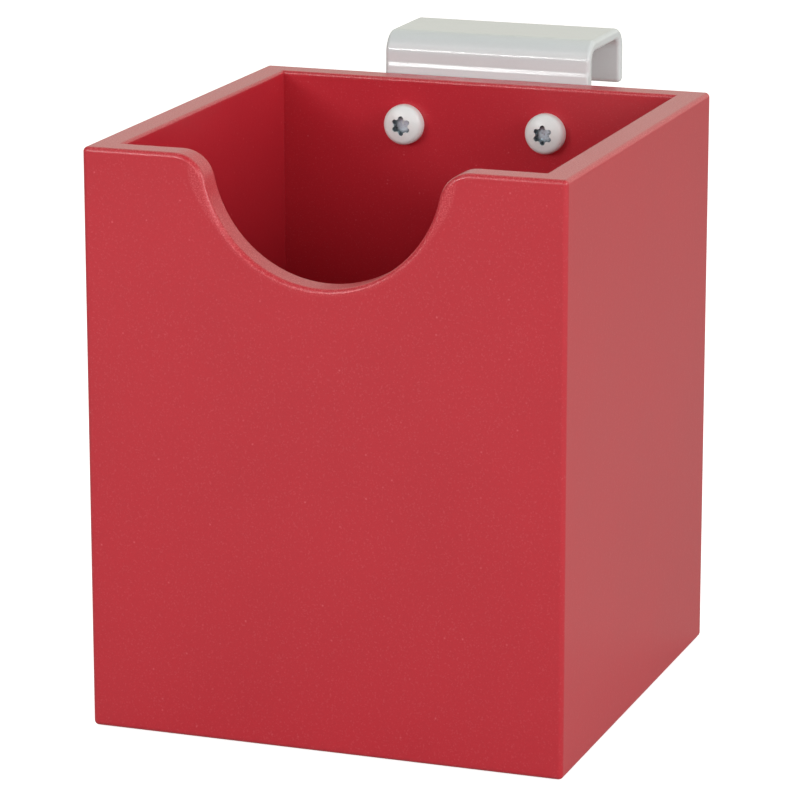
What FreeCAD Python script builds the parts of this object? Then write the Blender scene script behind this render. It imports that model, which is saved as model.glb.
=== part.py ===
import FreeCAD, Part
import os

import Sketcher

# A small open-topped box of lacquered board that hangs from a rail by a bent steel hook.
# Frame: millimetres, +Z up, +Y towards the hook, origin at the centre of the underside.

os.makedirs("parts", exist_ok=True)
doc = FreeCAD.newDocument("hanging_box")

# ---------------------------------------------------------------- sizes

VALUES = [
    # the box
    ("box_width", 130.2),
    ("box_depth", 129.2),
    ("box_height", 155.8),
    ("board", 8),
    ("floor_board", 8),
    # what is left of the board outside a rebate
    ("tongue", 4),
    ("outer_round", 1.3),
    ("rim_round", 0.9),
    # the finger notch in the front rim
    ("notch_radius", 32.2),
    ("notch_drop", 0.2),
    ("shoulder_round", 8.5),
    # the hook
    ("hook_width", 60),
    ("hook_shift", 0.3),
    ("hook_sheet", 3.2),
    ("hook_gap", 26),
    ("hook_rise", 11.4),
    ("hook_leg", 15.95),
    ("hook_drop", 26.2),
    ("hook_bend", 6),
    ("hook_edge", 1.2),
    ("hook_corner", 5),
    # the two machine screws
    ("screw_pitch", 41.4),
    ("screw_drop", 12.8),
    ("screw_radius", 3),
    ("screw_tip", 0.8),
    ("thread_pitch", 1),
    ("thread_depth", 0.6),
    ("thread_clear", 0.05),
    ("hole_clear", 0.25),
    ("head_radius", 5.65),
    ("head_height", 4.4),
    ("crown_radius", 13),
    ("crown_round", 2),
    ("head_foot_round", 0.4),
    ("socket_core", 2.05),
    ("socket_lobe", 0.75),
    ("socket_depth", 2.6),
    ("socket_round", 0.35),
    # the pins of the glued joints
    ("pin_radius", 0.6),
    ("pin_length", 20),
    ("pin_sunk", 0.8),
    ("pin_clear", 0.05),
    ("pin_first", 30),
    ("pin_spread", 35),
]

CORNER_PIN_ROWS = 3
THREAD_RINGS = 11

sizes = doc.addObject("Spreadsheet::Sheet", "Sizes")
for row, (alias, value) in enumerate(VALUES, 1):
    sizes.set("A%d" % row, alias)
    sizes.set("B%d" % row, str(value))
    sizes.setAlias("B%d" % row, alias)
doc.recompute()


def size(alias):
    return float(getattr(sizes, alias))


# Lengths that several pieces share, as spreadsheet formulas.
HALF_W = "Sizes.box_width / 2"
HALF_D = "Sizes.box_depth / 2"
RIM = "Sizes.box_height"
INNER_W = "(Sizes.box_width / 2 - Sizes.board)"
INNER_D = "(Sizes.box_depth / 2 - Sizes.board)"
REBATE_W = "(Sizes.box_width / 2 - Sizes.tongue)"
REBATE_D = "(Sizes.box_depth / 2 - Sizes.tongue)"
PIN_W = "(Sizes.box_width / 2 - (Sizes.tongue + Sizes.board) / 2)"
PIN_D = "(Sizes.box_depth / 2 - (Sizes.tongue + Sizes.board) / 2)"
SCREW_LENGTH = "(Sizes.board + Sizes.hook_sheet + Sizes.screw_tip)"
SCREW_Z = "(Sizes.box_height - Sizes.screw_drop)"


# ---------------------------------------------------------------- helpers

def new_body(label):
    item = doc.addObject("PartDesign::Body", label)
    item.Label = label
    return item


def new_sketch(item, role, offset=None):
    plane = next(part for part in item.Origin.OriginFeatures if part.Role == role)
    drawing = item.newObject("Sketcher::SketchObject", "Sketch")
    drawing.AttachmentSupport = [(plane, "")]
    drawing.MapMode = "FlatFace"
    if offset:
        drawing.setExpression("AttachmentOffset.Base.z", offset)
    return drawing


def bind(drawing, kind, where, formula):
    index = drawing.addConstraint(Sketcher.Constraint(kind, *where, 1.0))
    drawing.setExpression("Constraints[%d]" % index, formula)


def add_outline(drawing, corners):
    # Closed outline of straight lines whose corners sit at formula positions.
    count = len(corners)
    turn = FreeCAD.Rotation(FreeCAD.Vector(0, 0, 1), 360.0 / count)
    points = [FreeCAD.Vector(10, 0, 0)]
    for _ in range(count - 1):
        points.append(turn.multVec(points[-1]))
    first = drawing.GeometryCount
    for index, point in enumerate(points):
        drawing.addGeometry(Part.LineSegment(point, points[(index + 1) % count]))
    for index in range(count):
        follower = first + (index + 1) % count
        drawing.addConstraint(Sketcher.Constraint("Coincident", first + index, 2, follower, 1))
    for index, (across, up) in enumerate(corners):
        bind(drawing, "DistanceX", (first + index, 1), across)
        bind(drawing, "DistanceY", (first + index, 1), up)


def add_circle(drawing, across, up, radius):
    circle = Part.Circle(FreeCAD.Vector(3, 4, 0), FreeCAD.Vector(0, 0, 1), 1)
    index = drawing.addGeometry(circle)
    bind(drawing, "DistanceX", (index, 3), across)
    bind(drawing, "DistanceY", (index, 3), up)
    bind(drawing, "Radius", (index,), radius)


def add_feature(item, kind, drawing, length, reverse=False):
    feature = item.newObject("PartDesign::" + kind, kind)
    feature.Profile = drawing
    feature.setExpression("Length", length)
    feature.Reversed = reverse
    drawing.Visibility = False
    doc.recompute()
    return feature


def add_fillet(item, radius, wanted):
    # Rounds every edge of the body for which wanted(edge) is true.
    base = item.Tip
    names = ["Edge%d" % (n + 1) for n, edge in enumerate(base.Shape.Edges) if wanted(edge)]
    fillet = item.newObject("PartDesign::Fillet", "Fillet")
    fillet.Base = (base, names)
    fillet.setExpression("Radius", radius)
    doc.recompute()
    return fillet


def lies_at(edge, axis, value):
    # True when the whole edge lies in the plane axis = value.
    box = edge.BoundBox
    low = {"x": box.XMin, "y": box.YMin, "z": box.ZMin}[axis]
    high = {"x": box.XMax, "y": box.YMax, "z": box.ZMax}[axis]
    return abs(low - value) < 0.01 and abs(high - value) < 0.01


def lies_at_either(edge, axis, value):
    return lies_at(edge, axis, value) or lies_at(edge, axis, -value)


def new_block(label, low, high):
    block = doc.addObject("Part::Box", label)
    for side, start, end in zip(("Length", "Width", "Height"), low, high):
        block.setExpression(side, "(%s) - (%s)" % (end, start))
    for axis, start in zip("xyz", low):
        block.setExpression("Placement.Base." + axis, start)
    return block


def new_rod(label, direction, start, radius, length):
    rod = doc.addObject("Part::Cylinder", label)
    turn = FreeCAD.Rotation(FreeCAD.Vector(0, 0, 1), FreeCAD.Vector(*direction))
    rod.Placement = FreeCAD.Placement(FreeCAD.Vector(), turn)
    rod.setExpression("Radius", radius)
    rod.setExpression("Height", length)
    for axis, place in zip("xyz", start):
        rod.setExpression("Placement.Base." + axis, place)
    return rod


def joined(label, pieces):
    fuse = doc.addObject("Part::MultiFuse", label)
    fuse.Shapes = pieces
    return fuse


# ---------------------------------------------------------------- the box as one form

# The five boards are glued first and rounded afterwards, so one form gives all of them.
form = new_body("box_form")

outside = new_sketch(form, "XY_Plane")
add_outline(outside, [("-" + HALF_W, "-" + HALF_D), (HALF_W, "-" + HALF_D),
                      (HALF_W, HALF_D), ("-" + HALF_W, HALF_D)])
add_feature(form, "Pad", outside, RIM)

inside = new_sketch(form, "XY_Plane", "Sizes.floor_board")
add_outline(inside, [("-" + INNER_W, "-" + INNER_D), (INNER_W, "-" + INNER_D),
                     (INNER_W, INNER_D), ("-" + INNER_W, INNER_D)])
add_feature(form, "Pocket", inside, RIM, reverse=True)

# The finger notch: a circle that drops into the front rim.
notch = new_sketch(form, "XZ_Plane", HALF_D)
add_circle(notch, "0", "Sizes.box_height - Sizes.notch_drop", "Sizes.notch_radius")
add_feature(form, "Pocket", notch, "Sizes.board + 2")

half_w, half_d, rim = size("box_width") / 2, size("box_depth") / 2, size("box_height")
board, floor = size("board"), size("floor_board")
inner_w, inner_d = half_w - board, half_d - board


def is_shoulder(edge):
    # The two corners between the rim and the notch.
    return lies_at(edge, "z", rim) and edge.BoundBox.XLength < 0.01 \
        and abs(edge.BoundBox.XMin) < inner_w - 1


def is_outer_edge(edge):
    # Uprights, foot, top edges and the front mouth of the notch.
    return lies_at_either(edge, "x", half_w) or lies_at_either(edge, "y", half_d)


def is_inner_rim(edge):
    on_side = lies_at_either(edge, "x", inner_w)
    on_end = lies_at_either(edge, "y", inner_d)
    if lies_at(edge, "z", rim):
        return on_side or on_end
    return lies_at(edge, "y", -inner_d) and not on_side and not lies_at(edge, "z", floor)


add_fillet(form, "Sizes.shoulder_round", is_shoulder)
add_fillet(form, "Sizes.outer_round", is_outer_edge)
add_fillet(form, "Sizes.rim_round", is_inner_rim)

# ---------------------------------------------------------------- pins of the glued joints

corner_pins = []
foot_pins = []
pin_holes = {"front": [], "back": [], "left": [], "right": [], "floor": []}
PIN_STEP = "(Sizes.box_height - 2 * Sizes.pin_first) / %d" % (CORNER_PIN_ROWS - 1)
PIN_HOLE = "Sizes.pin_radius + Sizes.pin_clear"


def add_pin(pins, boards, direction, start):
    # A headless pin, and the slightly larger hole it sits in.
    axis = direction.index(1)
    wider = list(start)
    wider[axis] = "(%s) - Sizes.pin_clear" % start[axis]
    length = "Sizes.pin_length"
    name = "pin_%d" % (len(corner_pins) + len(foot_pins))
    pins.append(new_rod(name, direction, start, "Sizes.pin_radius", length))
    hole = new_rod(name + "_hole", direction, wider, PIN_HOLE, length + " + 2 * Sizes.pin_clear")
    for name in boards:
        pin_holes[name].append(hole)


PIN_FROM_LEFT = "-(Sizes.box_width / 2) + Sizes.pin_sunk"
PIN_FROM_RIGHT = "Sizes.box_width / 2 - Sizes.pin_sunk - Sizes.pin_length"
for side, across in (("left", PIN_FROM_LEFT), ("right", PIN_FROM_RIGHT)):
    for end, along in (("front", "-" + PIN_D), ("back", PIN_D)):
        for level in range(CORNER_PIN_ROWS):
            height = "Sizes.pin_first + %d * %s" % (level, PIN_STEP)
            add_pin(corner_pins, (side, end), (1, 0, 0), (across, along, height))

for end, along in (("front", "-" + PIN_D), ("back", PIN_D)):
    for across in ("-Sizes.pin_spread", "Sizes.pin_spread"):
        add_pin(foot_pins, (end, "floor"), (0, 0, 1), (across, along, "Sizes.pin_sunk"))
for side, across in (("left", "-" + PIN_W), ("right", PIN_W)):
    for along in ("-Sizes.pin_spread", "Sizes.pin_spread"):
        add_pin(foot_pins, (side, "floor"), (0, 0, 1), (across, along, "Sizes.pin_sunk"))

corner_pin_group = joined("corner_pins", corner_pins)
foot_pin_group = joined("bottom_pins", foot_pins)

# ---------------------------------------------------------------- the five boards

floor_block = new_block("floor_block",
                        ("-" + REBATE_W, "-" + REBATE_D, "0"),
                        (REBATE_W, REBATE_D, "Sizes.floor_board"))
left_block = new_block("left_block",
                       ("-" + HALF_W, "-" + REBATE_D, "0"), ("-" + INNER_W, REBATE_D, RIM))
right_block = new_block("right_block",
                        (INNER_W, "-" + REBATE_D, "0"), (HALF_W, REBATE_D, RIM))
front_block = new_block("front_block",
                        ("-" + HALF_W, "-" + HALF_D, "0"), (HALF_W, "-" + INNER_D, RIM))
back_block = new_block("back_block",
                       ("-" + HALF_W, INNER_D, "0"), (HALF_W, HALF_D, RIM))

# Clearance holes for the hook's screws, through the back board.
screw_holes = []
for side, across in (("left", "-Sizes.screw_pitch / 2"), ("right", "Sizes.screw_pitch / 2")):
    screw_holes.append(new_rod(side + "_screw_hole", (0, 1, 0),
                               (across, INNER_D + " - 1", SCREW_Z),
                               "Sizes.screw_radius + Sizes.hole_clear", "Sizes.board + 2"))


def new_board(label, block, cutters):
    # One board: its share of the rounded form, less the rebates and holes cut in it.
    share = doc.addObject("Part::Common", label + "_share")
    share.Base = form
    share.Tool = block
    cut = doc.addObject("Part::Cut", label)
    cut.Base = share
    cut.Tool = joined(label + "_cutters", cutters)
    return cut


boards = [
    new_board("front_panel", front_block,
              [left_block, right_block, floor_block] + pin_holes["front"]),
    new_board("back_panel", back_block,
              [left_block, right_block, floor_block] + pin_holes["back"] + screw_holes),
    new_board("left_side_panel", left_block, [floor_block] + pin_holes["left"]),
    new_board("right_side_panel", right_block, [floor_block] + pin_holes["right"]),
    new_board("bottom_panel", floor_block, pin_holes["floor"]),
]

# ---------------------------------------------------------------- the hook

hook = new_body("hanging_hook")
hook.setExpression("Placement.Base.x", "Sizes.hook_shift")
FRONT_Y = HALF_D
REAR_Y = "(Sizes.box_depth / 2 + Sizes.hook_gap + 2 * Sizes.hook_sheet)"
TOP_Z = "(Sizes.box_height + Sizes.hook_rise)"
UNDER_Z = "(Sizes.box_height + Sizes.hook_rise - Sizes.hook_sheet)"
FOOT_Z = "(Sizes.box_height + Sizes.hook_rise - Sizes.hook_leg)"
LOW_Z = "(Sizes.box_height - Sizes.hook_drop)"

strip = new_sketch(hook, "YZ_Plane")
add_outline(strip, [(FRONT_Y, LOW_Z), (FRONT_Y, TOP_Z), (REAR_Y, TOP_Z), (REAR_Y, FOOT_Z),
                    (REAR_Y + " - Sizes.hook_sheet", FOOT_Z),
                    (REAR_Y + " - Sizes.hook_sheet", UNDER_Z),
                    (FRONT_Y + " + Sizes.hook_sheet", UNDER_Z),
                    (FRONT_Y + " + Sizes.hook_sheet", LOW_Z)])
pad = add_feature(hook, "Pad", strip, "Sizes.hook_width")
pad.Midplane = True
doc.recompute()

sheet = size("hook_sheet")
rear_y = half_d + size("hook_gap") + 2 * sheet
top_z = rim + size("hook_rise")
foot_z = top_z - size("hook_leg")
low_z = rim - size("hook_drop")
end_x = size("hook_width") / 2


def is_outer_bend(edge):
    return lies_at(edge, "z", top_z) and edge.BoundBox.YLength < 0.01


def is_inner_bend(edge):
    return lies_at(edge, "z", top_z - sheet) and edge.BoundBox.YLength < 0.01


def is_low_corner(edge):
    return lies_at(edge, "z", low_z) and edge.BoundBox.XLength < 0.01


def is_strip_edge(edge):
    # Every edge of the cut strip: its two ends, each leg's foot and the rounded corners.
    on_front = lies_at(edge, "y", half_d) or lies_at(edge, "y", half_d + sheet)
    is_arc = edge.Curve.TypeId == "Part::GeomCircle"
    at_low = lies_at(edge, "z", low_z) or (on_front and is_arc)
    at_foot = lies_at(edge, "z", foot_z) and edge.BoundBox.YLength < 0.01
    return at_low or at_foot or lies_at_either(edge, "x", end_x)


add_fillet(hook, "Sizes.hook_bend", is_outer_bend)
add_fillet(hook, "Sizes.hook_bend - Sizes.hook_sheet", is_inner_bend)
add_fillet(hook, "Sizes.hook_corner", is_low_corner)
add_fillet(hook, "Sizes.hook_edge", is_strip_edge)

# Tapped holes in the front leg, in line with the holes in the back board.
taps = new_sketch(hook, "XZ_Plane", "-" + HALF_D + " - Sizes.hook_sheet - 1")
for across in ("-Sizes.screw_pitch / 2", "Sizes.screw_pitch / 2"):
    add_circle(taps, across + " - Sizes.hook_shift", SCREW_Z, "Sizes.screw_radius")
add_feature(hook, "Pocket", taps, "Sizes.hook_sheet + 2", reverse=True)

# ---------------------------------------------------------------- the screws

def new_screw(label):
    # Pan head above z = 0, threaded shank below, turned about its own Z axis.
    screw = new_body(label)
    crest = "Sizes.screw_radius - Sizes.thread_clear"
    root = "(Sizes.screw_radius - Sizes.thread_clear - Sizes.thread_depth)"
    profile = new_sketch(screw, "XZ_Plane")
    corners = [("0", "-" + SCREW_LENGTH), (root, "-" + SCREW_LENGTH)]
    for ring in range(THREAD_RINGS, 0, -1):
        corners.append((crest, "-(%s - 0.5) * Sizes.thread_pitch" % ring))
        corners.append((root, "-(%s - 1) * Sizes.thread_pitch - 0.02" % ring))
    corners += [(root, "0"), ("Sizes.head_radius", "0"),
                ("Sizes.head_radius", "Sizes.head_height"), ("0", "Sizes.head_height")]
    add_outline(profile, corners)
    turned = screw.newObject("PartDesign::Revolution", "Revolution")
    turned.Profile = profile
    turned.ReferenceAxis = (profile, ["V_Axis"])
    turned.Angle = 360
    doc.recompute()

    # The crown: all that stands above a large sphere is turned away.
    crown = new_sketch(screw, "XZ_Plane")
    reach, height, radius = size("head_radius"), size("head_height"), size("crown_radius")
    drop = radius - (radius ** 2 - reach ** 2) ** 0.5
    top, edge = FreeCAD.Vector(0, height, 0), FreeCAD.Vector(reach, height - drop, 0)
    corner = FreeCAD.Vector(reach, height, 0)
    middle = FreeCAD.Vector(reach / 2, height - radius
                            + (radius ** 2 - reach ** 2 / 4) ** 0.5, 0)
    crown.addGeometry(Part.Arc(edge, middle, top))
    crown.addGeometry(Part.LineSegment(top, corner))
    crown.addGeometry(Part.LineSegment(corner, edge))
    for first, second in (((0, 2), (1, 1)), ((1, 2), (2, 1)), ((2, 2), (0, 1))):
        crown.addConstraint(Sketcher.Constraint("Coincident", *first, *second))
    crown.addConstraint(Sketcher.Constraint("PointOnObject", 0, 3, -2))
    crown.addConstraint(Sketcher.Constraint("Vertical", 2))
    crown.addConstraint(Sketcher.Constraint("Horizontal", 1))
    crown.addConstraint(Sketcher.Constraint("PointOnObject", 1, 1, -2))
    bind(crown, "Radius", (0,), "Sizes.crown_radius")
    bind(crown, "DistanceX", (1, 2), "Sizes.head_radius")
    bind(crown, "DistanceY", (1, 2), "Sizes.head_height")
    groove = screw.newObject("PartDesign::Groove", "Groove")
    groove.Profile = crown
    groove.ReferenceAxis = (crown, ["V_Axis"])
    groove.Angle = 360
    doc.recompute()
    return screw, height - drop


screws = []
for side, across in (("left", "-Sizes.screw_pitch / 2"), ("right", "Sizes.screw_pitch / 2")):
    screw, shoulder_z = new_screw("hook_screw_" + side)

    def is_crown_edge(edge):
        return lies_at(edge, "z", shoulder_z)

    def is_head_foot(edge):
        return lies_at(edge, "z", 0) and edge.BoundBox.XLength > 2 * size("head_radius") - 0.1

    def is_socket_ridge(edge):
        box = edge.BoundBox
        return box.XLength < 0.01 and box.YLength < 0.01 and box.ZLength > 1

    add_fillet(screw, "Sizes.crown_round", is_crown_edge)
    add_fillet(screw, "Sizes.head_foot_round", is_head_foot)

    # The six-lobe socket: a round core with six round lobes about it.
    core = new_sketch(screw, "XY_Plane", "Sizes.head_height")
    add_circle(core, "0", "0", "Sizes.socket_core")
    add_feature(screw, "Pocket", core, "Sizes.socket_depth")
    lobe = new_sketch(screw, "XY_Plane", "Sizes.head_height")
    add_circle(lobe, "0", "Sizes.socket_core", "Sizes.socket_lobe")
    lobe_cut = add_feature(screw, "Pocket", lobe, "Sizes.socket_depth")
    ring = screw.newObject("PartDesign::PolarPattern", "PolarPattern")
    ring.Originals = [lobe_cut]
    ring.Axis = (lobe, ["N_Axis"])
    ring.Angle = 360
    ring.Occurrences = 6
    screw.Tip = ring
    doc.recompute()
    add_fillet(screw, "Sizes.socket_round", is_socket_ridge)

    # The head bears on the back board's inner face; the shank points to the rear.
    turn = FreeCAD.Rotation(FreeCAD.Vector(1, 0, 0), 90)
    screw.Placement = FreeCAD.Placement(FreeCAD.Vector(), turn)
    screw.setExpression("Placement.Base.x", across)
    screw.setExpression("Placement.Base.y", INNER_D)
    screw.setExpression("Placement.Base.z", SCREW_Z)
    screws.append(screw)

# ---------------------------------------------------------------- check and write

doc.recompute()
for item in doc.Objects:
    if "Invalid" in item.State or "Error" in item.State:
        raise RuntimeError("%s did not build: %s" % (item.Label, item.State))

for node in boards + [corner_pin_group, foot_pin_group, hook] + screws:
    if node.Shape.isNull() or not node.Shape.isValid():
        raise RuntimeError("%s has no valid shape" % node.Label)
    node.Shape.exportStep(os.path.join("parts", node.Label + ".step"))
    box = node.Shape.BoundBox
    print("%-18s solids %2d  volume %9.1f  x %7.2f %7.2f  y %7.2f %7.2f  z %7.2f %7.2f" % (
        node.Label, len(node.Shape.Solids), node.Shape.Volume,
        box.XMin, box.XMax, box.YMin, box.YMax, box.ZMin, box.ZMax))
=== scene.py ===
# %% [markdown]
# # A hanging storage box with a steel rail hook
#
# The real object is a small open box made of five fibreboard pieces under red satin lacquer.
# A grey coated steel strip, bent like a square hook, is screwed to its back with two round-headed
# screws, so that the box hangs on a rail. The shapes are already made and packed. This lesson
# gives them their finishes, and builds a small photo studio round them.

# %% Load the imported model
import math

import bmesh
import bpy
from mathutils import Matrix, Vector


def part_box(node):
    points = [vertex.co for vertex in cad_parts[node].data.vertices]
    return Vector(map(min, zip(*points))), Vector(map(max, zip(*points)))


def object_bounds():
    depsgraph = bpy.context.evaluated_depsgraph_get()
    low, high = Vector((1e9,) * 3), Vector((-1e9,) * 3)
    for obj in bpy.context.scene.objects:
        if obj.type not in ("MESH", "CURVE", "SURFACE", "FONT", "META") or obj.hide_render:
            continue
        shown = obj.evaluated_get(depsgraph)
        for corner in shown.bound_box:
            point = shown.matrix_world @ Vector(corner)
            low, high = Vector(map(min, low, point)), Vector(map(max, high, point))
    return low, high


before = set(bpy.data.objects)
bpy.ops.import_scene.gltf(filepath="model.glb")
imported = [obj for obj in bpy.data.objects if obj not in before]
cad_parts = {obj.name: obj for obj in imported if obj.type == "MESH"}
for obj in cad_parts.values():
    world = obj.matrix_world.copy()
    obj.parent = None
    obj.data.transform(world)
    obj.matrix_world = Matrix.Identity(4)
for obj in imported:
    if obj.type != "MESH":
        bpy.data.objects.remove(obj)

scene = bpy.context.scene
MM = 0.001
MICRON = 0.000001
made_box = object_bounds()
print("pieces:", ", ".join(sorted(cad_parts)))
print("size in mm:", [round(side / MM, 1) for side in made_box[1] - made_box[0]])

# %% [markdown]
# ## Places to measure from
#
# Paint is not the same everywhere. It is grainy where a cutter opened the board, and it is gone
# where a driver bit scraped the screw. The finishes need to know where those places are, so they
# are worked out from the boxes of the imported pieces. Typing them in by hand would also work, but
# then they would be wrong as soon as the box changed size.

# %% Read the key places
front_low, front_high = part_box("front_panel")
back_low, back_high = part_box("back_panel")
hook_low, hook_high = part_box("hanging_hook")
rim_height = back_high.z
BOARD = front_high.y - front_low.y
screw_places = [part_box(name) for name in ("hook_screw_left", "hook_screw_right")]
screw_half_gap = (screw_places[1][0].x + screw_places[1][1].x) / 2
screw_height = (screw_places[0][0].z + screw_places[0][1].z) / 2
crown_top = screw_places[0][0].y
print("rim", round(rim_height, 4), "board", round(BOARD, 4), "screws", round(screw_half_gap, 4),
      round(screw_height, 4), "head front", round(crown_top, 4))

# %% [markdown]
# ## Small helpers for shader nodes
#
# A finish is a graph of nodes. Placing each one by hand takes three or four lines, which hides
# the idea. One helper makes a node and fills its sockets, and two short ones do arithmetic and
# soft thresholds, so that each finish below reads almost like a recipe.

# %% Node helpers
def add(tree, kind, sockets=None, **settings):
    """Makes one shader node. A socket given another node's output is linked to it."""
    made = tree.nodes.new("ShaderNode" + kind)
    for name, value in settings.items():
        setattr(made, name, value)
    for name, value in (sockets or {}).items():
        if isinstance(value, bpy.types.NodeSocket):
            tree.links.new(value, made.inputs[name])
        else:
            made.inputs[name].default_value = value
    return made


def sums(tree, operation, first, second=0.0, third=0.0):
    """One step of arithmetic on numbers."""
    return add(tree, "Math", {0: first, 1: second, 2: third}, operation=operation).outputs[0]


def soft_step(tree, value, start, end, low=0.0, high=1.0):
    """Goes smoothly from low to high as value goes from start to end."""
    made = add(tree, "MapRange", {"Value": value, "From Min": start, "From Max": end,
                                  "To Min": low, "To Max": high}, interpolation_type="SMOOTHSTEP")
    return made.outputs["Result"]


def noise(tree, position, cells, detail=2.0, roughness=0.5):
    """Cloudy noise with that many cells to the metre, about 0.5 on average."""
    return add(tree, "TexNoise", {"Vector": position, "Scale": cells, "Detail": detail,
                                  "Roughness": roughness}).outputs["Fac"]


def new_group(name, inputs, outputs):
    """An empty node group. Its sockets are (name, kind, value), and kind is Float, Vector or Color."""
    group = bpy.data.node_groups.new(name, "ShaderNodeTree")
    for label, kind, value in inputs:
        socket = group.interface.new_socket(label, in_out="INPUT", socket_type="NodeSocket" + kind)
        if value is not None:
            socket.default_value = value
    for label, kind in outputs:
        group.interface.new_socket(label, in_out="OUTPUT", socket_type="NodeSocket" + kind)
    given = group.nodes.new("NodeGroupInput").outputs
    result = group.nodes.new("NodeGroupOutput").inputs
    return group, given, result


def use(tree, group, **sockets):
    """Places a group in a material. Spaces in a socket's name are written as underscores."""
    placed = tree.nodes.new("ShaderNodeGroup")
    placed.node_tree = group
    for name, value in sockets.items():
        label = name.replace("_", " ")
        if isinstance(value, bpy.types.NodeSocket):
            tree.links.new(value, placed.inputs[label])
        else:
            placed.inputs[label].default_value = value
    return placed.outputs


# %% [markdown]
# ## Effects that several finishes share
#
# Every coated surface here was sprayed, whether with lacquer or with powder, so they share the
# same faults: a skin of low ripples called orange peel, a few specks of dust caught in the film,
# and colour that is a little uneven. Each is built once as a node group with its own named
# knobs. A copy in every material would look the same, but would have to be mended in every one.

# %% Orange peel
peel_group, given, result = new_group(
    "Orange peel",
    [("Position", "Vector", None), ("Ripples per metre", "Float", 700.0), ("Height", "Float", 0.00001)],
    [("Height", "Float")])
wide = noise(peel_group, given["Position"], given["Ripples per metre"], detail=0.0)
fine = noise(peel_group, given["Position"],
             sums(peel_group, "MULTIPLY", given["Ripples per metre"], 2.7), detail=1.0)
both = sums(peel_group, "MULTIPLY_ADD", fine, 0.35, wide)
peel_group.links.new(sums(peel_group, "MULTIPLY", both, given["Height"]), result["Height"])
print("group:", peel_group.name)

# %% Dust caught in the film
nib_group, given, result = new_group(
    "Dust nibs",
    [("Position", "Vector", None), ("Specks per metre", "Float", 300.0), ("Share", "Float", 0.1),
     ("Size", "Float", 0.1)],
    [("Mask", "Float")])
cells = add(nib_group, "TexVoronoi", {"Vector": given["Position"], "Scale": given["Specks per metre"]})
pick = add(nib_group, "SeparateColor", {0: cells.outputs["Color"]})
chosen = sums(nib_group, "LESS_THAN", pick.outputs["Red"], given["Share"])
own_size = sums(nib_group, "MULTIPLY", given["Size"],
                sums(nib_group, "MULTIPLY_ADD", pick.outputs["Green"], 0.8, 0.4))
speck = soft_step(nib_group, cells.outputs["Distance"], own_size, 0.0)
nib_group.links.new(sums(nib_group, "MULTIPLY", chosen, speck), result["Mask"])
print("group:", nib_group.name)

# %% Uneven colour
mottle_group, given, result = new_group(
    "Mottle",
    [("Position", "Vector", None), ("Color", "Color", None), ("Clouds per metre", "Float", 30.0),
     ("Grains per metre", "Float", 1500.0), ("Cloud strength", "Float", 0.05),
     ("Grain strength", "Float", 0.05)],
    [("Color", "Color"), ("Shade", "Float")])
cloud = noise(mottle_group, given["Position"], given["Clouds per metre"], detail=3.0)
grain = noise(mottle_group, given["Position"], given["Grains per metre"], detail=2.0, roughness=0.7)
cloud = sums(mottle_group, "MULTIPLY", sums(mottle_group, "SUBTRACT", cloud, 0.5),
             given["Cloud strength"])
grain = sums(mottle_group, "MULTIPLY", sums(mottle_group, "SUBTRACT", grain, 0.5),
             given["Grain strength"])
shade = sums(mottle_group, "ADD", sums(mottle_group, "ADD", cloud, grain), 1.0)
tinted = add(mottle_group, "VectorMath", {0: given["Color"]}, operation="SCALE")
mottle_group.links.new(shade, tinted.inputs["Scale"])
mottle_group.links.new(tinted.outputs[0], result["Color"])
mottle_group.links.new(shade, result["Shade"])
print("group:", mottle_group.name)

# %% [markdown]
# ## Red satin lacquer
#
# The boards are sprayed after they are cut and glued, so one red film runs over all five. On the
# flat faces it is smooth. Where a cutter went through the board, at the scoop and along the rim,
# the open fibres drink the paint and stand up in it, so the film there is rougher and grainy.
# There a paler red is also painted on the fibre tops as a painted highlight, for the sheen that
# these rounded cut edges catch.
# The finish finds those places by measuring: how far a point is from the axis of the scoop, and
# how near it is to the top. A painted mask would need an unwrapped mesh and an image.

# %% Find the cut edges of the boards
SCOOP_RADIUS = 32.2 * MM
SCOOP_AXIS = rim_height - 0.2 * MM
SANDED_MORE = 2.2 * MM


def cut_edge_mask(tree, axes):
    """1 on the routed scoop and the rim, 0 on the flat faces. The scoop's band widens upwards."""
    from_axis = add(tree, "CombineXYZ", {
        "X": axes["X"], "Z": sums(tree, "SUBTRACT", axes["Z"], SCOOP_AXIS)}).outputs[0]
    radius = add(tree, "VectorMath", {0: from_axis}, operation="LENGTH").outputs["Value"]
    wider = soft_step(tree, axes["Z"], rim_height - 20 * MM, rim_height - 6 * MM, 0.0, SANDED_MORE)
    reach = sums(tree, "SUBTRACT", radius, wider)
    near_scoop = soft_step(tree, reach, SCOOP_RADIUS + 2.2 * MM, SCOOP_RADIUS + 1.0 * MM)
    in_front = soft_step(tree, axes["Y"], front_high.y + 2 * MM, front_high.y + 1 * MM)
    near_rim = soft_step(tree, axes["Z"], rim_height - 1.6 * MM, rim_height - 0.4 * MM)
    return sums(tree, "MAXIMUM", sums(tree, "MULTIPLY", near_scoop, in_front), near_rim)


def new_material(name):
    """An empty material, with a Principled shader on its output, and a point on the object."""
    material = bpy.data.materials.new(name)
    material.use_nodes = True
    tree = material.node_tree
    shader = tree.nodes["Principled BSDF"]
    position = add(tree, "TexCoord").outputs["Object"]
    axes = add(tree, "SeparateXYZ", {0: position}).outputs
    return material, tree, shader, position, axes


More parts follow.
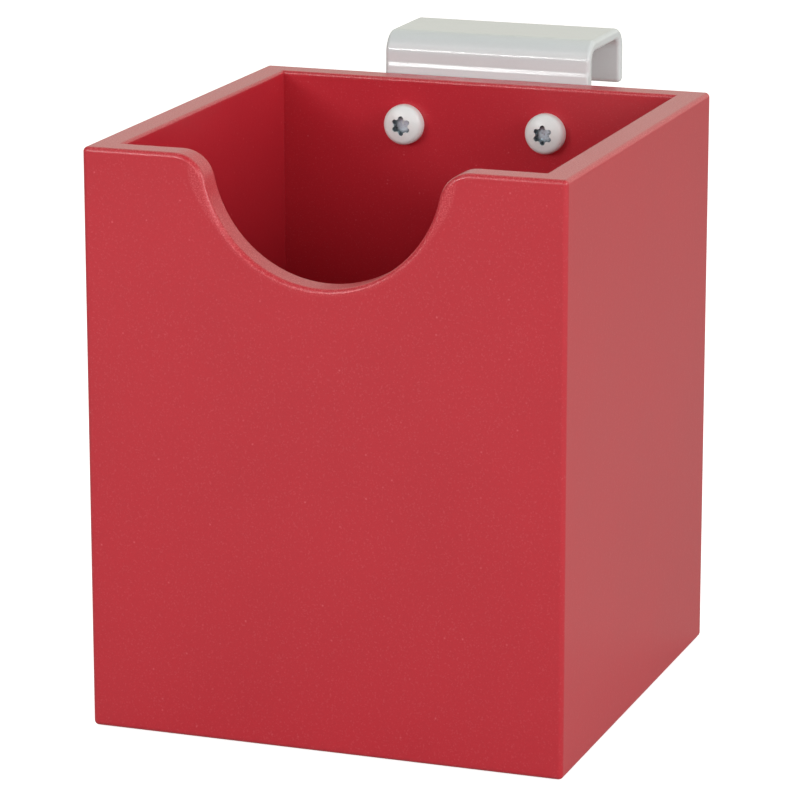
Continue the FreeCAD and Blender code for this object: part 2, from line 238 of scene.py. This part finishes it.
# %% Mix the lacquer
LACQUER_RED = (0.555, 0.0195, 0.035, 1.0)
SPECK_AND_GLINT_RED = (0.78, 0.22, 0.24, 1.0)
FIBRE_HIGHLIGHT_RED = (0.82, 0.17, 0.185, 1.0)
LACQUER_PEEL, LACQUER_NIB, FIBRE_HEIGHT = 9 * MICRON, 4 * MICRON, 40 * MICRON
SATIN, CUT_EDGE_ROUGHER = 0.30, 0.06
lacquer, tree, shader, position, axes = new_material("red satin lacquer")
cut = cut_edge_mask(tree, axes)
film = use(tree, mottle_group, Position=position, Color=LACQUER_RED, Clouds_per_metre=28.0,
           Grains_per_metre=1700.0, Cloud_strength=0.10, Grain_strength=0.16)
nibs = use(tree, nib_group, Position=position, Specks_per_metre=420.0, Share=0.12, Size=0.16)["Mask"]
fibres = noise(tree, position, 2600.0, detail=3.0, roughness=0.7)
# Painted highlight: pale specks are painted into the base colour where tiny glints off the peel would
# catch the light. They are mixed with the real pale dust specks.
painted_glints = soft_step(tree, noise(tree, position, 2100.0, detail=1.0), 0.58, 0.76, 0.0, 0.16)
dust_and_painted_glints = sums(tree, "MULTIPLY_ADD", nibs, 0.45, painted_glints)
speckled = add(tree, "Mix", {"Factor": dust_and_painted_glints, 6: film["Color"], 7: SPECK_AND_GLINT_RED},
               data_type="RGBA").outputs[2]
# Painted highlight: the fibre tops on the cut edges get a paler red that stands in for the sheen these
# edges catch. The grain itself is real.
fibre_grain_and_highlight = sums(tree, "MULTIPLY", cut, soft_step(tree, fibres, 0.44, 0.68, 0.0, 0.60))
paint = add(tree, "Mix", {"Factor": fibre_grain_and_highlight, 6: speckled, 7: FIBRE_HIGHLIGHT_RED},
            data_type="RGBA").outputs[2]
peel = use(tree, peel_group, Position=position, Ripples_per_metre=620.0, Height=LACQUER_PEEL)["Height"]
relief = sums(tree, "MULTIPLY_ADD", nibs, LACQUER_NIB, peel)
relief = sums(tree, "MULTIPLY_ADD", sums(tree, "MULTIPLY", cut, fibres), FIBRE_HEIGHT, relief)
bump = add(tree, "Bump", {"Height": relief, "Strength": 1.0, "Distance": 1.0})
gloss = sums(tree, "MULTIPLY_ADD", sums(tree, "SUBTRACT", film["Shade"], 1.0), 0.3, SATIN)
gloss = sums(tree, "MULTIPLY_ADD", cut, CUT_EDGE_ROUGHER, gloss)
tree.links.new(paint, shader.inputs["Base Color"])
tree.links.new(gloss, shader.inputs["Roughness"])
tree.links.new(bump.outputs[0], shader.inputs["Normal"])
shader.inputs["IOR"].default_value = 1.5
shader.inputs["Coat Weight"].default_value = 0.22
shader.inputs["Coat Roughness"].default_value = 0.12
print("finish:", lacquer.name)

# %% [markdown]
# ## Grey powder coat
#
# The hook is mild steel strip. Powder is blown on to it and melted, which leaves a thicker and
# glossier skin than lacquer, with broader ripples, rounded edges and the odd grain of dust. On
# the leg above the rim the melt ran a little before it set, and left a low roll that catches the
# light below the bend. The grey leans a little towards green.

# %% Mix the powder coat
POWDER_GREY = (0.745, 0.795, 0.81, 1.0)
DUST_GREY = (0.42, 0.44, 0.42, 1.0)
POWDER_PEEL, POWDER_NIB, ROLL_HEIGHT = 8 * MICRON, 20 * MICRON, 320 * MICRON
ROLL_TOP, ROLL_FOOT = hook_high.z - 8 * MM, hook_high.z - 10 * MM
GLOSSY = 0.15
powder, tree, shader, position, axes = new_material("grey powder coat")
film = use(tree, mottle_group, Position=position, Color=POWDER_GREY, Clouds_per_metre=60.0,
           Grains_per_metre=1200.0, Cloud_strength=0.06, Grain_strength=0.04)
nibs = use(tree, nib_group, Position=position, Specks_per_metre=260.0, Share=0.06, Size=0.09)["Mask"]
coat = add(tree, "Mix", {"Factor": sums(tree, "MULTIPLY", nibs, 0.4), 6: film["Color"],
                         7: DUST_GREY}, data_type="RGBA").outputs[2]
peel = use(tree, peel_group, Position=position, Ripples_per_metre=380.0, Height=POWDER_PEEL)["Height"]
relief = sums(tree, "MULTIPLY_ADD", nibs, POWDER_NIB, peel)
outer_face = soft_step(tree, axes["Y"], hook_low.y + 0.8 * MM, hook_low.y + 0.2 * MM)
roll = sums(tree, "MULTIPLY", outer_face, soft_step(tree, axes["Z"], ROLL_TOP, ROLL_FOOT))
relief = sums(tree, "MULTIPLY_ADD", roll, ROLL_HEIGHT, relief)
bump = add(tree, "Bump", {"Height": relief, "Strength": 1.0, "Distance": 1.0})
gloss = sums(tree, "MULTIPLY_ADD", sums(tree, "SUBTRACT", film["Shade"], 1.0), 0.8, GLOSSY)
tree.links.new(coat, shader.inputs["Base Color"])
tree.links.new(gloss, shader.inputs["Roughness"])
tree.links.new(bump.outputs[0], shader.inputs["Normal"])
print("finish:", powder.name)

# %% [markdown]
# ## Painted screws
#
# The screws are steel. Their heads carry a pale paint to match the hook, but the driver bit has
# scraped it off inside the socket, down to blue-grey metal, and the scrape has a ragged edge.
# The thread below the head was never painted. One material can do all three: it measures how far
# a point is from the screw's axis and how deep it lies below the crown, and chooses paint or
# metal there.

# %% Mix the screw paint
SCREW_PAINT = (0.92, 0.98, 0.98, 1.0)
SCREW_METAL = (0.72, 0.86, 0.96, 1.0)
SOCKET_SHADE_AND_GRIME = (0.03, 0.045, 0.05, 1.0)
CROWN_RADIUS = 13 * MM
SOCKET_REACH = 3.2 * MM
RAGGED_EDGE = 1.6 * MM
SCREW_PEEL, SCRAPE_HEIGHT = 4 * MICRON, 40 * MICRON
board_front = back_high.y - BOARD
screw_finish, tree, shader, position, axes = new_material("pale screw paint over steel")
across = sums(tree, "SUBTRACT", sums(tree, "ABSOLUTE", axes["X"]), screw_half_gap)
upward = sums(tree, "SUBTRACT", axes["Z"], screw_height)
from_axis = add(tree, "CombineXYZ", {"X": across, "Z": upward}).outputs[0]
radius = add(tree, "VectorMath", {0: from_axis}, operation="LENGTH").outputs["Value"]
crown_here = sums(tree, "MULTIPLY_ADD", sums(tree, "MULTIPLY", radius, radius),
                  0.5 / CROWN_RADIUS, crown_top)
depth = sums(tree, "SUBTRACT", axes["Y"], crown_here)
ragged = noise(tree, position, 1500.0, detail=3.0, roughness=0.7)
scraped = sums(tree, "MULTIPLY_ADD", sums(tree, "SUBTRACT", ragged, 0.5), RAGGED_EDGE, depth)
in_socket = sums(tree, "MULTIPLY", soft_step(tree, scraped, 0.15 * MM, 0.4 * MM),
                 soft_step(tree, radius, SOCKET_REACH, SOCKET_REACH - 0.2 * MM))
on_thread = soft_step(tree, axes["Y"], board_front - 0.1 * MM, board_front + 0.1 * MM)
bare = sums(tree, "MAXIMUM", in_socket, on_thread)
film = use(tree, mottle_group, Position=position, Color=SCREW_PAINT, Clouds_per_metre=260.0,
           Grains_per_metre=2500.0, Cloud_strength=0.08, Grain_strength=0.05)
metal = use(tree, mottle_group, Position=position, Color=SCREW_METAL, Clouds_per_metre=900.0,
            Grains_per_metre=4000.0, Cloud_strength=0.9, Grain_strength=0.5)
# Painted shade and grime: the bare metal is painted darker towards the outer tips of the socket's
# lobes, where shade falls in the deep recess. Dark blotches of grime from noise are added on top.
socket_shade_and_grime = sums(tree, "ADD", soft_step(tree, radius, 1.2 * MM, 2.4 * MM, 0.0, 0.75),
             soft_step(tree, noise(tree, position, 1100.0, detail=2.0), 0.54, 0.68, 0.0, 0.5))
shaded_and_dirty_metal = add(tree, "Mix", {"Factor": sums(tree, "MINIMUM", socket_shade_and_grime, 0.9), 6: metal["Color"],
                          7: SOCKET_SHADE_AND_GRIME}, data_type="RGBA").outputs[2]
skin = add(tree, "Mix", {"Factor": bare, 6: film["Color"], 7: shaded_and_dirty_metal}, data_type="RGBA").outputs[2]
peel = use(tree, peel_group, Position=position, Ripples_per_metre=900.0, Height=SCREW_PEEL)["Height"]
relief = sums(tree, "MULTIPLY_ADD", sums(tree, "MULTIPLY", bare, ragged), SCRAPE_HEIGHT, peel)
bump = add(tree, "Bump", {"Height": relief, "Strength": 1.0, "Distance": 1.0})
tree.links.new(skin, shader.inputs["Base Color"])
tree.links.new(sums(tree, "MULTIPLY_ADD", bare, 0.10, 0.30), shader.inputs["Roughness"])
tree.links.new(sums(tree, "MULTIPLY", bare, 0.55), shader.inputs["Metallic"])
tree.links.new(bump.outputs[0], shader.inputs["Normal"])
print("finish:", screw_finish.name)

# %% [markdown]
# ## Pin steel
#
# The pins that hold the corners are sunk in the boards and filled over, so nobody sees them. They
# still get drawn wire as their finish, with faint lines running along the wire, in case someone
# takes the box apart.

# %% Mix the pin steel
WIRE_GREY = (0.55, 0.55, 0.56, 1.0)
LINE_HEIGHT = 6 * MICRON
pin_steel, tree, shader, position, axes = new_material("drawn pin wire")
along = add(tree, "Mapping", {"Vector": position, "Scale": (1.0, 0.04, 1.0)}).outputs[0]
drawn = noise(tree, along, 6000.0, detail=2.0)
film = use(tree, mottle_group, Position=position, Color=WIRE_GREY, Clouds_per_metre=200.0,
           Grains_per_metre=3000.0, Cloud_strength=0.15, Grain_strength=0.1)
bump = add(tree, "Bump", {"Height": sums(tree, "MULTIPLY", drawn, LINE_HEIGHT), "Strength": 1.0,
                          "Distance": 1.0})
tree.links.new(film["Color"], shader.inputs["Base Color"])
tree.links.new(soft_step(tree, drawn, 0.3, 0.7, 0.28, 0.42), shader.inputs["Roughness"])
tree.links.new(bump.outputs[0], shader.inputs["Normal"])
shader.inputs["Metallic"].default_value = 1.0
print("finish:", pin_steel.name)

# %% [markdown]
# ## Put the finishes on the pieces
#
# The record says which finish each piece takes, as a named slot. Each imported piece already
# carries a plain material with its slot's name, so the plain one is swapped for the finish made
# above. The shapes themselves are left exactly as they were packed.

# %% Swap the plain materials
FINISH_OF_SLOT = {"box_lacquer": lacquer, "hook_coating": powder, "screw_coating": screw_finish,
                  "pin_steel": pin_steel}
for name, piece in sorted(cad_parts.items()):
    for place in piece.material_slots:
        slot_name = place.material.name
        place.material = FINISH_OF_SLOT[slot_name]
    print(name, "->", piece.material_slots[0].material.name)

# %% [markdown]
# ## Floor
#
# The box stands on a plain pale sheet of studio paper. The paper looks almost white to the
# camera, yet throws back only about three fifths of the light that falls on it, as a big dim
# studio floor does, so that the box's sides don't glow. One shader can do both, because it can
# tell a camera ray from a ray of bounced light.

# %% Lay the floor
FLOOR_RADIUS = 3.0
floor_mesh = bpy.data.meshes.new("studio_paper")
shape = bmesh.new()
bmesh.ops.create_circle(shape, cap_ends=True, segments=96, radius=FLOOR_RADIUS)
shape.to_mesh(floor_mesh)
shape.free()
floor = bpy.data.objects.new("studio_paper", floor_mesh)
scene.collection.objects.link(floor)
floor.location.z = made_box[0].z - 0.0002

paper, tree, shader, position, axes = new_material("pale studio paper")
seen = add(tree, "LightPath").outputs["Is Camera Ray"]
tooth = noise(tree, position, 900.0, detail=3.0)
FLOOR_SEEN, FLOOR_LIT, FLOOR_GLOW = 0.85, 0.62, 0.75
tint = add(tree, "Mix", {"Factor": seen, 6: (FLOOR_LIT, FLOOR_LIT, FLOOR_LIT, 1.0),
                         7: (FLOOR_SEEN, FLOOR_SEEN, FLOOR_SEEN, 1.0)}, data_type="RGBA").outputs[2]
tree.links.new(tint, shader.inputs["Base Color"])
tree.links.new(soft_step(tree, tooth, 0.3, 0.7, 0.85, 1.0), shader.inputs["Roughness"])
shader.inputs["Specular IOR Level"].default_value = 0.1
shader.inputs["Emission Color"].default_value = (1.0, 1.0, 1.0, 1.0)
tree.links.new(sums(tree, "MULTIPLY", seen, FLOOR_GLOW), shader.inputs["Emission Strength"])
floor.data.materials.append(paper)
print("floor radius", FLOOR_RADIUS, "m")

# %% [markdown]
# ## Light
#
# Small glossy things are lit with large soft lamps, so that no shadow has a hard edge. The
# surround is dim in front and bright behind, and a little warm, which puts a pale sheen on the
# rim and on the side that turns away. A soft key lamp high on the left and a front lamp light
# the front, and a fill lamp on the right lights the side and the scoop's rounded edge. One
# narrow strip lamp draws the bright lines along the hook's leg. A single spotlight would be
# simpler, but it would burn a white dot on every rounded edge.

# %% Light the surround
AROUND, BEHIND = 0.21, 0.63
WARM_WHITE, WHITE = (1.0, 0.98, 0.88, 1.0), (1.0, 1.0, 1.0, 1.0)
world = bpy.data.worlds.new("studio surround")
scene.world = world
world.use_nodes = True
tree = world.node_tree
way = add(tree, "SeparateXYZ", {0: add(tree, "TexCoord").outputs["Generated"]}).outputs
to_back = soft_step(tree, way["Y"], -0.1, 0.7)
lit = sums(tree, "MULTIPLY_ADD", to_back, BEHIND, AROUND)
seen = add(tree, "LightPath").outputs["Is Camera Ray"]
strength = add(tree, "Mix", {"Factor": seen, 2: lit, 3: 1.0}).outputs[0]
tree.links.new(strength, tree.nodes["Background"].inputs["Strength"])
warmth = add(tree, "Mix", {"Factor": seen, 6: WARM_WHITE, 7: WHITE},
             data_type="RGBA").outputs[2]
tree.links.new(warmth, tree.nodes["Background"].inputs["Color"])
print("surround", AROUND, "and behind", BEHIND)


# %% Place the lamps
def place_lamp(name, place, aim, width, height, power):
    """A soft rectangular lamp at a place, facing the point that it aims at."""
    lamp_data = bpy.data.lights.new(name, "AREA")
    lamp_data.shape = "RECTANGLE"
    lamp_data.size, lamp_data.size_y, lamp_data.energy = width, height, power
    lamp = bpy.data.objects.new(name, lamp_data)
    scene.collection.objects.link(lamp)
    lamp.location = place
    lamp.rotation_mode = "QUATERNION"
    lamp.rotation_quaternion = (Vector(aim) - Vector(place)).to_track_quat("-Z", "Y")
    print("lamp", name, tuple(round(number, 2) for number in place), power, "W")


BOX_MIDDLE = (0.0, 0.0, 0.09)
HOOK_FRONT = (0.0, hook_low.y, 0.162)
place_lamp("key", (-0.55, -1.15, 0.95), BOX_MIDDLE, 0.8, 1.0, 3.9)
place_lamp("side_fill", (1.20, -0.35, 0.55), BOX_MIDDLE, 0.7, 0.7, 8.0)
place_lamp("front", (0.48, -1.40, 0.46), BOX_MIDDLE, 0.8, 0.6, 4.0)
place_lamp("strip_high", (-0.38, -0.75, 0.37), HOOK_FRONT, 0.30, 0.05, 1.3)

# %% [markdown]
# ## Camera
#
# The camera stands about a metre away, a little to the right and a little above, with a long
# lens. A long lens from far away keeps the upright edges of the box almost parallel. A short
# lens close up would show the same box with edges that splay apart.

# %% Set up the camera
VIEW_AZIMUTH, VIEW_ELEVATION, VIEW_ROLL = (math.radians(x) for x in (19.849, 14.522, -0.043))
VIEW_DISTANCE = 1.120563
LOOK_AT = Vector((-0.002014, 0.000097, 0.078674))
back = Vector((math.sin(VIEW_AZIMUTH) * math.cos(VIEW_ELEVATION),
               -math.cos(VIEW_AZIMUTH) * math.cos(VIEW_ELEVATION), math.sin(VIEW_ELEVATION)))
camera_data = bpy.data.cameras.new("camera")
camera_data.sensor_width = 36.0
camera_data.lens = 187.224
camera_data.clip_start, camera_data.clip_end = 0.05, 20.0
camera = bpy.data.objects.new("camera", camera_data)
scene.collection.objects.link(camera)
aim = (-back).to_track_quat("-Z", "Y").to_matrix().to_4x4() @ Matrix.Rotation(VIEW_ROLL, 4, "Z")
camera.matrix_world = Matrix.Translation(LOOK_AT + back * VIEW_DISTANCE) @ aim
scene.camera = camera
scene.view_settings.view_transform = "Standard"
print("camera at", tuple(round(number, 3) for number in camera.matrix_world.translation))
